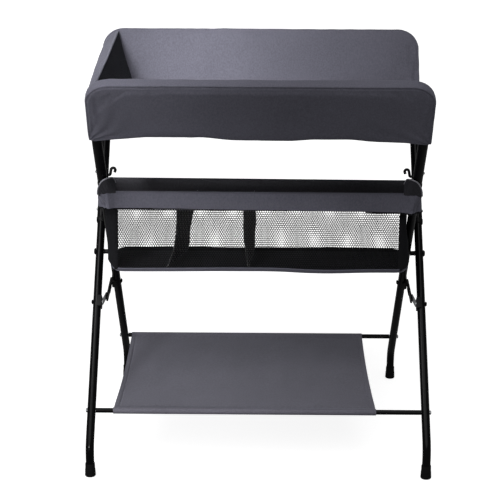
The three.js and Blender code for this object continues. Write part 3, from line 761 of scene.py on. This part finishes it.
def end_surface(u, t):
    """u runs from the front bow to the rear one and t from the hem up and in over the corner."""
    half = frames["inner"]["spacing"] * (1 - u) + frames["outer"]["spacing"] * u + cover_overhang - 0.001
    crown = 0.8985 * (1 - u) + 0.9045 * u
    end_arc = end_arcs[0] * (1 - u) + end_arcs[1] * u
    straight = crown - cover_corner - end_low
    along = t * (straight + cover_corner * end_arc)
    if along < straight:
        x, z = -half, end_low + along
    else:
        phi = (along - straight) / cover_corner
        x = -half + cover_corner * (1 - math.cos(phi))
        z = crown - cover_corner * (1 - math.sin(phi))
    reach = wall_point(frames["outer"], 0, z).y - 0.010
    y = (2 * u - 1) * reach
    slump = math.sin(math.pi * u) ** 0.8
    z -= 0.004 * slump * t
    x += (0.004 * math.sin(math.pi * t) + stray(0.0012, y * 9, z * 16, 4.2)) * -slump
    return Vector((x, y, z))


def end_shade_face(u, t):
    """The inner face, from the bed's edge up and out to the bound edge, in near-black cloth as painted shade for
    the shade inside the end wall.
    """
    top = end_surface(u, 1) + Vector((0.0022, 0, -0.0030))
    z = 0.7735 + (top.z - 0.7735) * t
    foot_x = -0.300 - 0.006 * u
    x = foot_x + (top.x - foot_x) * (t ** 0.85) + stray(0.0010, u * 6, t * 5, 8.1)
    reach = wall_point(frames["outer"], 0, z).y - 0.010
    return Vector((x, (2 * u - 1) * reach, z))


end_cloth = woven_cloth("slate_cloth_end_wall", slate, (0, 0, math.pi / 2))
# The inner face is near-black cloth, a painted shade: it stands in for the shade inside the end wall.
end_shade_lining = woven_cloth("painted_shade_cloth_end_wall", (0.0030, 0.0030, 0.0036), (0, 0, math.pi / 2), thread=0.0006,
                         sheen=0.06)
for u_from, side, body in ((0.0, -1, "inner_frame"), (0.5, 1, "outer_frame")):
    word = "front" if side < 0 else "rear"
    sheet = sew(f"end_wall_{word}_half", 60, 36, lambda u, t: end_surface(u_from + u / 2, t), 0.003,
                end_cloth, None, "grey_fabric", "end_wall")
    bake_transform(sheet)
    shade_face = sew(f"end_wall_{word}_lining", 60, 36, lambda u, t: end_shade_face(u_from + u / 2, t), 0.0012,
                     end_shade_lining, None, "black_mesh")
    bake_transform(shade_face)
    binding = lay_grid(60, 12, lambda u, t: end_surface(u_from + u / 2, 1)
                       + Vector((0.0030 * math.cos(2 * math.pi * t), 0, 0.0030 * math.sin(2 * math.pi * t))))
    bpy.ops.object.mode_set(mode="EDIT")
    close_up()
    settle(binding, f"end_wall_{word}_binding", end_cloth, None, "grey_fabric", smooth=60)
    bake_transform(binding)

# ---- Lower shelf --------------------------------------------------------------------------------------
# A taut rectangle of slate cloth slung between the two lower rails, with its long edges hemmed round them.
# It is modelled in two halves that meet along the middle.
rail_y = abs(middle("front_lower_rail").y)
rail_z = middle("front_lower_rail").z
shelf_low, shelf_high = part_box("lower_shelf")
hem_radius = 0.0068
hem_lap = 0.020


def hem_path():
    """Depth and height of the cloth: the web, over the rail, round it and back under to the stitching."""
    points = [(d * (rail_y - hem_lap) / 40, 0.0012) for d in range(41)]
    points += [(rail_y - hem_lap * 0.66, 0.0014), (rail_y - hem_lap * 0.33, 0.0040)]
    for step in range(15):
        angle = math.radians(104 - step * 14.5)
        points.append((rail_y + hem_radius * math.cos(angle), hem_radius * math.sin(angle)))
    return points + [(rail_y - hem_lap * 0.33, -0.0042), (rail_y - hem_lap * 0.66, -0.0016),
                     (rail_y - hem_lap, -0.0012)]


shelf_path = hem_path()
# The shelf's slate is a paler copy of the wall slate: painted light, so that the shelf reads brighter than the
# front wall.
shelf_cloth_painted_light = woven_cloth("slate_cloth_shelf_painted_light", (0.128, 0.124, 0.151), (math.pi / 2, 0, 0), crease=0.0034)
for side, body, rail in ((-1, "outer_frame", "front"), (1, "inner_frame", "rear")):
    count = len(shelf_path) - 1

    def shelf_point(u, t):
        depth, height = shelf_path[round(t * count)]
        x = shelf_low.x + (shelf_high.x - shelf_low.x) * u
        edge = min(u, 1 - u)
        web = 1 - ease((depth - rail_y + 0.035) / 0.02)
        sag = -0.0035 * math.cos(math.pi / 2 * min(1, depth / rail_y)) * web
        ripple = stray(0.0020, x * 7, side * depth * 5, 1.3) + stray(0.0010, x * 26, side * depth * 9, 9)
        pucker = 0.0005 * math.sin(x * 420) * bell(depth - rail_y + hem_lap + 0.001, 0.006)
        curl = 0.0012 * math.exp(-edge / 0.012) * web
        draw = 0.0030 * math.exp(-edge / 0.03) * math.sin(math.pi * min(1, depth / rail_y) / 2 + math.pi / 2)
        x += draw if u < 0.5 else -draw
        side_hem = 0.0009 * (1 - ease((edge * (shelf_high.x - shelf_low.x) - 0.009) / 0.002)) * web
        stitched = -0.0012 * bell(edge * (shelf_high.x - shelf_low.x) - 0.0115, 0.0014) * web
        z = rail_z + height + sag + ripple * web + pucker + curl + side_hem + stitched
        return Vector((x, side * depth, z))

    half_shelf = sew(f"lower_shelf_{rail}_half", 300, count, shelf_point, 0.0011,
                     shelf_cloth_painted_light, None, "grey_fabric", "lower_shelf")
    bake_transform(half_shelf)

# ---- Basket rims --------------------------------------------------------------------------------------
# Long bands of slate cloth folded over the two basket bars, lined with black on the inside; the lining's colour
# is made paler as painted light for the shade it sits in.
# They are sewn from one strip each and hang a little fuller towards their ends.
band_height = 0.0365
band_radius = 0.0082
rim_cloth = woven_cloth("slate_cloth_rim", slate, (0, 0, 0), crease=0.0020)
# The band linings and the gussets use a copy of the black lining made about four times paler: painted light that
# makes up for the shade they sit in.
painted_light_lining = woven_cloth("lining_cloth_painted_light", (0.048, 0.047, 0.054), (0, 0, 0), thread=0.0006, sheen=0.06)
painted_shade_lining = woven_cloth("black_lining_cloth", (0.0105, 0.0105, 0.0120), (0, 0, 0), thread=0.0006,
                     crease=0.0026, sheen=0.06)


def band_path(drop, radius):
    """Distance out from the bar and height of a band folded over it, from inner hem to outer hem."""
    points = [(-radius + 0.0026 * (1 - i / 10), -drop + i * drop / 10) for i in range(10)]
    for angle in range(0, 181, 15):
        points.append((-radius * math.cos(math.radians(angle)), radius * math.sin(math.radians(angle))))
    return points + [(radius - 0.0026 * (i / 10), -i * drop / 10) for i in range(1, 11)]


for name, part in frames.items():
    bow = part["bow"]
    side = part["side"]
    bar = middle(f"{bow}_basket_bar")
    band_half = 0.331 if bow == "front" else 0.352
    drop = band_height - (0.0015 if bow == "rear" else 0.0065)
    path = band_path(drop, band_radius)
    count = len(path) - 1
    lopsided = -0.0045 if bow == "rear" else -0.0020

    def band_point(u, t, inset=0.0):
        out, height = path[round(t * count)]
        x = (2 * u - 1) * band_half
        hang = ease(-height / drop)
        gather = ease((abs(x) - 0.20) / 0.13)
        wave = (0.0006 + 0.0016 * gather) * math.sin(x * 120 + stray(4, x * 8, 0, side)) * hang
        wave += stray(0.0016, x * 9, height * 20, side + 5) * hang
        y = bar.y + side * (out * (1 - inset) + wave * (1 if out > 0 else 0.5))
        z = bar.z + height + hang * (stray(0.0012, x * 10, 3, side) - 0.010 * x * (side < 0)) + lopsided * x
        return Vector((x, y, z))

    band = sew(f"{bow}_basket_band", 160, count, band_point, 0.0014,
               rim_cloth, f"{bow}_rim", "grey_fabric", f"{bow}_basket_rim")

    def lining_point(u, t):
        x = (2 * u - 1) * band_half
        height = 0.0092 - t * (drop + 0.015)
        out = -band_radius - 0.0024 + 0.0024 * ease(-height / drop)
        if height > 0:
            out *= math.sqrt(max(0.0, 1 - (height / (band_radius + 0.0024)) ** 2))
        seam = -0.0010 * bell(x - 0.004, 0.0022)
        sway = stray(0.0022, x * 7, height * 12, side + 2) + 0.0006 * math.sin(x * 90) * t
        return Vector((x, bar.y + side * (out + seam - abs(sway) * t), bar.z + height + lopsided * x))

    inner = sew(f"{bow}_basket_lining", 140, 14, lining_point, 0.0010,
                painted_light_lining, f"{bow}_rim", "black_mesh")

# ---- Basket end strips --------------------------------------------------------------------------------------
# At each end the rim runs on outside the inner leg, gathered round it, and back to the rear bar.
# The strip is slate cloth outside and black inside.


def flatten_with_basket(piece):
    """Gives the piece its own copy of its mesh."""
    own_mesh(piece)
    return piece


front_bar, rear_bar = middle("front_basket_bar"), middle("rear_basket_bar")


def smooth_line(points, t):
    """A point t of the way along a soft curve through the points (Catmull-Rom)."""
    place = t * (len(points) - 1)
    i = min(int(place), len(points) - 2)
    f = place - i
    a, b, c, d = (Vector(points[max(0, min(len(points) - 1, i + k))]) for k in (-1, 0, 1, 2))
    bend, twist = 2 * a - 5 * b + 4 * c - d, 3 * b - a - 3 * c + d
    return 0.5 * ((2 * b) + (c - a) * f + bend * f * f + twist * f ** 3)


near = front_bar.y
leg_front = near - 0.0260
corner_plan = [(0.262, near - 0.0100, 0.6150), (0.296, near - 0.0108, 0.6152), (0.320, near - 0.0150, 0.6158),
               (0.334, leg_front + 0.0020, 0.6170), (0.346, leg_front, 0.6185),
               (0.3545, leg_front + 0.0015, 0.6190), (0.3575, leg_front + 0.0100, 0.6185),
               (0.3572, near + 0.0020, 0.6170), (0.3572, near + 0.0400, 0.6110),
               (0.3575, -0.0500, 0.6010), (0.3585, 0.0100, 0.5945), (0.3592, 0.0600, 0.5890),
               (0.3590, rear_bar.y - 0.012, 0.5845), (0.3520, rear_bar.y - 0.004, 0.5820)]
front_run = [(x / 100, near - 0.0100, 0.6150) for x in range(-20, 21, 5)]
rim_plan = [(-x, y, z) for x, y, z in reversed(corner_plan)] + front_run + corner_plan


def resample(points, pieces):
    """The same line with its points evenly spaced."""
    fine = [smooth_line(points, i / 2000) for i in range(2001)]
    lengths = [0.0]
    for a, b in zip(fine, fine[1:]):
        lengths.append(lengths[-1] + (b - a).length)
    even, j = [], 0
    for i in range(pieces + 1):
        while j < 1999 and lengths[j + 1] < lengths[-1] * i / pieces:
            j += 1
        even.append(fine[j + 1] if i == pieces else fine[j])
    return even, lengths[-1]


rim_steps = 420
rim_line, rim_cut = resample(rim_plan, rim_steps)


def rim_strip(u, t, inner=0.0):
    along = u * rim_steps
    i = min(int(along), rim_steps - 1)
    spot = rim_line[i].lerp(rim_line[i + 1], along - i)
    ahead = rim_line[min(rim_steps, i + 3)] - rim_line[max(0, i - 3)]
    out = Vector((ahead.y, -ahead.x, 0)).normalized()
    bunch = bell(abs(spot.x) - 0.352, 0.016) * (1 if spot.y < near + 0.05 else 0.3)
    ripple = (0.0002 + 0.0014 * bunch) * math.sin(u * 640 + stray(3, u * 16, t, 2))
    ripple += stray(0.0010, u * 26, t * 3, 4)
    across = max(-1.0, min(1.0, spot.x / 0.33))
    rise = max(0.0, spot.z - 0.6150)
    fall = band_height + rise + 0.0032 * across * (1 if spot.y < -0.10 else 0.2)
    z = spot.z - t * fall - 0.0020 * spot.x + stray(0.0008, u * 24, 0.2, 1)
    z += 0.0010 * bunch * math.sin(u * 640)
    roll_in = 0.0042 * max(0.0, 1 - t / 0.16) ** 2
    at_leg = bell(abs(spot.x) - 0.354, 0.012) * ease((near - 0.002 - spot.y) / 0.016)
    drawn_in = math.copysign(0.0120 * ease(t / 0.8) * at_leg, spot.x)
    place = Vector((spot.x - drawn_in, spot.y + 0.010 * t * at_leg, z))
    return place + out * (ripple - inner - roll_in + 0.0010 * t)


strip = sew("basket_rim_strip", rim_steps, 16, rim_strip, 0.0016, rim_cloth, "basket", "grey_fabric")
flatten_with_basket(strip)
for hand, sign in hands.items():
    end_share = 0.305
    back = sew(f"basket_end_lining_{hand}", 130, 14, lambda u, t: rim_strip(
        (0.012 + end_share * u) if sign < 0 else (0.988 - end_share * u), 0.05 + 1.05 * t, 0.0024), 0.0010,
               painted_shade_lining, "basket", "black_mesh")
    flatten_with_basket(back)

# ---- Corner gussets -----------------------------------------------------------------------------------
# At each front corner a small black gusset is drawn up in front of the leg, as far as the sleeve collar; it
# shares the band lining's paler colour, painted light for its shade.
# Its curved edge is bound with a narrow strip of paler cloth and its foot is sewn inside the front band.
binding_cloth = woven_cloth("pale_binding_cloth", (0.30, 0.295, 0.33), (0, 0, 0), thread=0.0006)
gusset_edge = [(0.3580, -0.1715, 0.6160), (0.3560, -0.1810, 0.6280), (0.3520, -0.1910, 0.6400),
               (0.3440, -0.2010, 0.6530), (0.3350, -0.2050, 0.6590), (0.3280, -0.1940, 0.6590),
               (0.3222, -0.1720, 0.6530), (0.3190, -0.1550, 0.6390)]
for hand, sign in hands.items():
    edge_line = [(sign * x, y, z) for x, y, z in gusset_edge]
    foot_line = [(sign * (0.3530 - 0.0068 * i), near - 0.0205 + 0.0018 * i, 0.6100) for i in range(6)]

    def gusset_point(u, t):
        top, foot = smooth_line(edge_line, u), smooth_line(foot_line, u)
        spot = foot.lerp(top, t)
        gather = 0.0012 * math.sin(u * 26 + 3 * t) * math.sin(math.pi * t) + stray(0.0008, u * 8, t * 5, sign)
        return spot + Vector((0, -abs(gather), 0))

    gusset = sew(f"basket_gusset_{hand}", 48, 20, gusset_point, 0.0010, painted_light_lining, "basket", "black_mesh")
    flatten_with_basket(gusset)

    def binding_point(u, t):
        spot = smooth_line(edge_line, u)
        turn = 2 * math.pi * t
        ahead, behind = smooth_line(edge_line, min(1, u + 0.02)), smooth_line(edge_line, max(0, u - 0.02))
        along = (ahead - behind).normalized()
        side_way = along.cross(Vector((0, -1, 0))).normalized()
        return spot + 0.0015 * (math.cos(turn) * side_way + math.sin(turn) * side_way.cross(along))

    edging = lay_grid(60, 12, binding_point)
    bpy.ops.object.mode_set(mode="EDIT")
    close_up()
    settle(edging, f"basket_gusset_binding_{hand}", binding_cloth, "basket", "grey_fabric", smooth=60)
    flatten_with_basket(edging)

# ---- Basket net ---------------------------------------------------------------------------------------
# The long front and rear walls of the basket are knitted black net with six-sided holes.
# Each hole is 5.4 mm wide; the net is sewn to the band above and to the floor below.
hole_pitch = 0.0054
strand = 0.00105


def knit(width, height):
    """A flat net in the X-Y plane from the origin, built up by repeating a pair of six-sided rings."""
    radius = hole_pitch / math.sqrt(3)
    bpy.ops.object.select_all(action="DESELECT")
    bpy.ops.mesh.primitive_circle_add(vertices=6, radius=radius, fill_type="NGON")
    net = bpy.context.object
    bpy.ops.object.mode_set(mode="EDIT")
    bpy.ops.mesh.select_mode(type="FACE")
    bpy.ops.mesh.select_all(action="SELECT")
    bpy.ops.mesh.inset(thickness=strand / 2, depth=0)
    bpy.ops.mesh.delete(type="FACE")
    bpy.ops.mesh.select_all(action="SELECT")
    bpy.ops.mesh.duplicate_move(TRANSFORM_OT_translate={"value": (hole_pitch / 2, 1.5 * radius, 0)})
    bpy.ops.object.mode_set(mode="OBJECT")
    across, up = round(width / hole_pitch), round(height / (3 * radius))
    for count, step in ((across, (hole_pitch, 0, 0)), (up, (0, 3 * radius, 0))):
        row = net.modifiers.new("row", "ARRAY")
        row.use_relative_offset = False
        row.use_constant_offset = True
        row.constant_offset_displace = step
        row.count = count
        bpy.ops.object.modifier_apply(modifier=row.name)
    bpy.ops.object.mode_set(mode="EDIT")
    bpy.ops.mesh.select_all(action="SELECT")
    bpy.ops.mesh.remove_doubles(threshold=1e-4)
    bpy.ops.object.mode_set(mode="OBJECT")
    return net


net_material = soft_black("black_net_yarn", (0.0045, 0.0045, 0.005), 0.68, 1800, 0.0002)
floor_front, floor_rear = 0.4315, 0.4095
net_walls = {
    "front": {"y_top": front_bar.y + 0.0090, "y_low": front_bar.y + 0.0175, "top": front_bar.z - 0.026,
              "low": floor_front, "from": -0.3200, "to": 0.3130, "out": -1},
    "rear": {"y_top": rear_bar.y - 0.0090, "y_low": rear_bar.y - 0.0175, "top": rear_bar.z - 0.026,
             "low": floor_rear, "from": -0.3440, "to": 0.3440, "out": 1},
}


def wall_net_point(wall, x, t):
    """A point of a long wall, t up from the floor; it bellies out a little and its floor line sags."""
    swag = 0.0016 * math.sin(x * 9 + 1.2) + stray(0.0009, x * 14, 0.3, wall["out"])
    z = wall["low"] + t * (wall["top"] - wall["low"]) + swag * (1 - t)
    y = wall["y_low"] + t * (wall["y_top"] - wall["y_low"])
    belly = 0.0035 * math.sin(math.pi * t)
    belly += stray(0.0018, x * 6, t * 2, wall["out"] + 3) * math.sin(math.pi * t)
    return Vector((x, y + wall["out"] * belly, z))


for word, wall in net_walls.items():
    width = wall["to"] - wall["from"]
    height = math.hypot(wall["top"] - wall["low"], wall["y_top"] - wall["y_low"])
    net = knit(width, height)
    wide = max(v.co.x for v in net.data.vertices)
    tall = max(v.co.y for v in net.data.vertices)
    for vertex in net.data.vertices:
        x = wall["from"] + width * min(1, max(0, vertex.co.x / wide))
        vertex.co = wall_net_point(wall, x, min(1, max(0, vertex.co.y / tall)))
    thicken(net, 0.0006)
    settle(net, f"basket_{word}_net", net_material, "basket", "black_mesh", "basket_bag", smooth=30)
    flatten_with_basket(net)

# ---- Basket end panels, floor and dividers --------------------------------------------------------------------
# Closed black cloth makes the two ends and the floor; the floor sits in a shallow slate tray of cloth.
# Two dividers of fine black mesh slant across the basket and split it into three bays.


def fine_mesh(name, colour, hole, turn):
    """Fine black mesh: paler in its small round holes than on its yarn."""
    mesh, place = start_finish(name, {"Roughness": 0.7})
    turned = add_node(mesh, "Mapping", {"Rotation": turn}, Vector=place).outputs["Vector"]
    cell_settings = {"Scale": 1 / hole, "Randomness": 0.12}
    cells = add_node(mesh, "TexVoronoi", cell_settings, Vector=turned).outputs["Distance"]
    tone = tones(mesh, cells, (0.22, [c * 3 + 0.20 for c in colour]), (0.42, colour))
    return complete(mesh, tone, bumps(mesh, 0.6, 0.0004, Height=cells))


bag_front, bag_rear = net_walls["front"], net_walls["rear"]
for hand, sign in hands.items():
    front_start = 0.320 if hand == "left" else 0.313
    top_corner = 0.3450 if hand == "left" else 0.3260

    def end_panel_point(u, t):
        """u runs round the end from the front net to the rear one, t from the floor up to the band."""
        low_z = floor_front * (1 - u) + floor_rear * u + 0.001
        top_z = (bag_front["top"] * (1 - u) + bag_rear["top"] * u) + 0.004
        z = low_z + t * (top_z - low_z)
        front_y = bag_front["y_low"] + t * (bag_front["y_top"] - bag_front["y_low"]) - 0.0020
        rear_y = bag_rear["y_low"] + t * (bag_rear["y_top"] - bag_rear["y_low"]) + 0.0020
        corner = 0.3420 * (1 - t) + top_corner * t - 0.020 * (1 - math.sqrt(min(1, t / 0.16)))
        line = [(front_start, front_y - 0.001, 0), (front_start + 0.008, front_y - 0.002, 0),
                (corner - 0.002, front_y + 0.004, 0), (corner, front_y + 0.014, 0), (0.3345, -0.080, 0),
                (0.3325, -0.040, 0), (0.3330, 0.000, 0), (0.3400, 0.045, 0), (0.3480, rear_y - 0.020, 0),
                (0.3480, rear_y - 0.004, 0), (0.3420, rear_y, 0)]
        spot = smooth_line(line, u)
        dent = 0.0012 * math.sin(math.pi * u) * math.sin(math.pi * t) + stray(0.0012, u * 6, t * 5, sign)
        return Vector((sign * (spot.x - abs(dent)), spot.y, z))

    panel = sew(f"basket_end_panel_{hand}", 70, 24, end_panel_point, 0.0012, painted_shade_lining, "basket", "black_mesh")
    flatten_with_basket(panel)


def bag_floor_point(u, t, lift, spread, rise):
    """A floor cloth with its edges turned up: u across the table, t from the front to the rear."""
    x = (2 * u - 1) * (0.3360 + spread)
    front_y, rear_y = bag_front["y_low"] - 0.0030 - spread, bag_rear["y_low"] + 0.0030 + spread
    y = front_y + (rear_y - front_y) * t
    inset_x = min(u, 1 - u) * 2 * 0.336
    inset_y = min(t, 1 - t) * (rear_y - front_y)
    corner = 0.030
    if inset_x < corner and inset_y < corner:
        away = math.hypot(corner - inset_x, corner - inset_y)
        if away > corner:
            pull = corner / away
            x = math.copysign(abs(x) - (corner - inset_x) * (1 - pull), x)
            y += (corner - inset_y) * (1 - pull) * (1 if t < 0.5 else -1)
            inset_x = inset_y = 0
        edge = corner - min(corner, away)
    else:
        edge = min(inset_x, inset_y)
    curl = rise * (1 - ease(edge / 0.011))
    z = floor_front + (floor_rear - floor_front) * t + lift + curl
    middle_sag = math.sin(math.pi * u) ** 0.5 * math.sin(math.pi * t) ** 0.5
    z -= 0.0030 * middle_sag
    z -= 0.0042 * bell(x - 0.13, 0.09) * (1 - ease((t - 0.0) / 0.8))
    z += 0.0016 * math.sin(x * 9 + 1.2) * (1 - t) + stray(0.0012, x * 9, y * 9, 3)
    return Vector((x, y, z))


base_cloth = woven_cloth("slate_cloth_basket_base", slate, (math.pi / 2, 0, 0))
tray = sew("basket_base", 150, 50, lambda u, t: bag_floor_point(u, t, -0.0050, 0.0030, 0.0085), 0.0018,
           base_cloth, "basket", "grey_fabric")
flatten_with_basket(tray)
inner_floor = sew("basket_floor", 150, 50, lambda u, t: bag_floor_point(u, t, -0.0010, 0.0, 0.0060), 0.0016,
                  painted_shade_lining, "basket", "black_mesh")
flatten_with_basket(inner_floor)

divider_mesh = fine_mesh("fine_black_mesh", (0.062, 0.062, 0.065), 0.0044, (0, math.pi / 2, 0))
for word, front_top, front_low, rear_top, rear_low, draw in (
        ("left", -0.184, -0.2125, -0.149, -0.172, 0.0035),
        ("right", -0.0360, -0.0240, -0.0125, -0.0120, -0.0030)):

    def divider_point(u, t):
        """u runs from the front net to the rear one and t from the floor to the top edge."""
        front = wall_net_point(bag_front, 0, t * 1.06)
        rear = wall_net_point(bag_rear, 0, t * 1.06)
        curve = min(1, t) ** 0.5
        waist = draw * math.sin(math.pi * min(1, t)) ** 2
        x_front = front_low + (front_top - front_low) * curve
        x_rear = rear_low + (rear_top - rear_low) * t
        x = x_front + waist + (x_rear - x_front - 2 * waist) * u
        x += stray(0.0016, u * 5, t * 5, front_top)
        y = front.y + 0.0015 + (rear.y - front.y - 0.003) * u
        z = front.z + (rear.z - front.z) * u - 0.012 * math.sin(math.pi * u) * t
        return Vector((x, y, z))

    divider = sew(f"basket_divider_{word}", 40, 24, divider_point, 0.0014,
                  divider_mesh, "basket", "black_mesh")
    flatten_with_basket(divider)
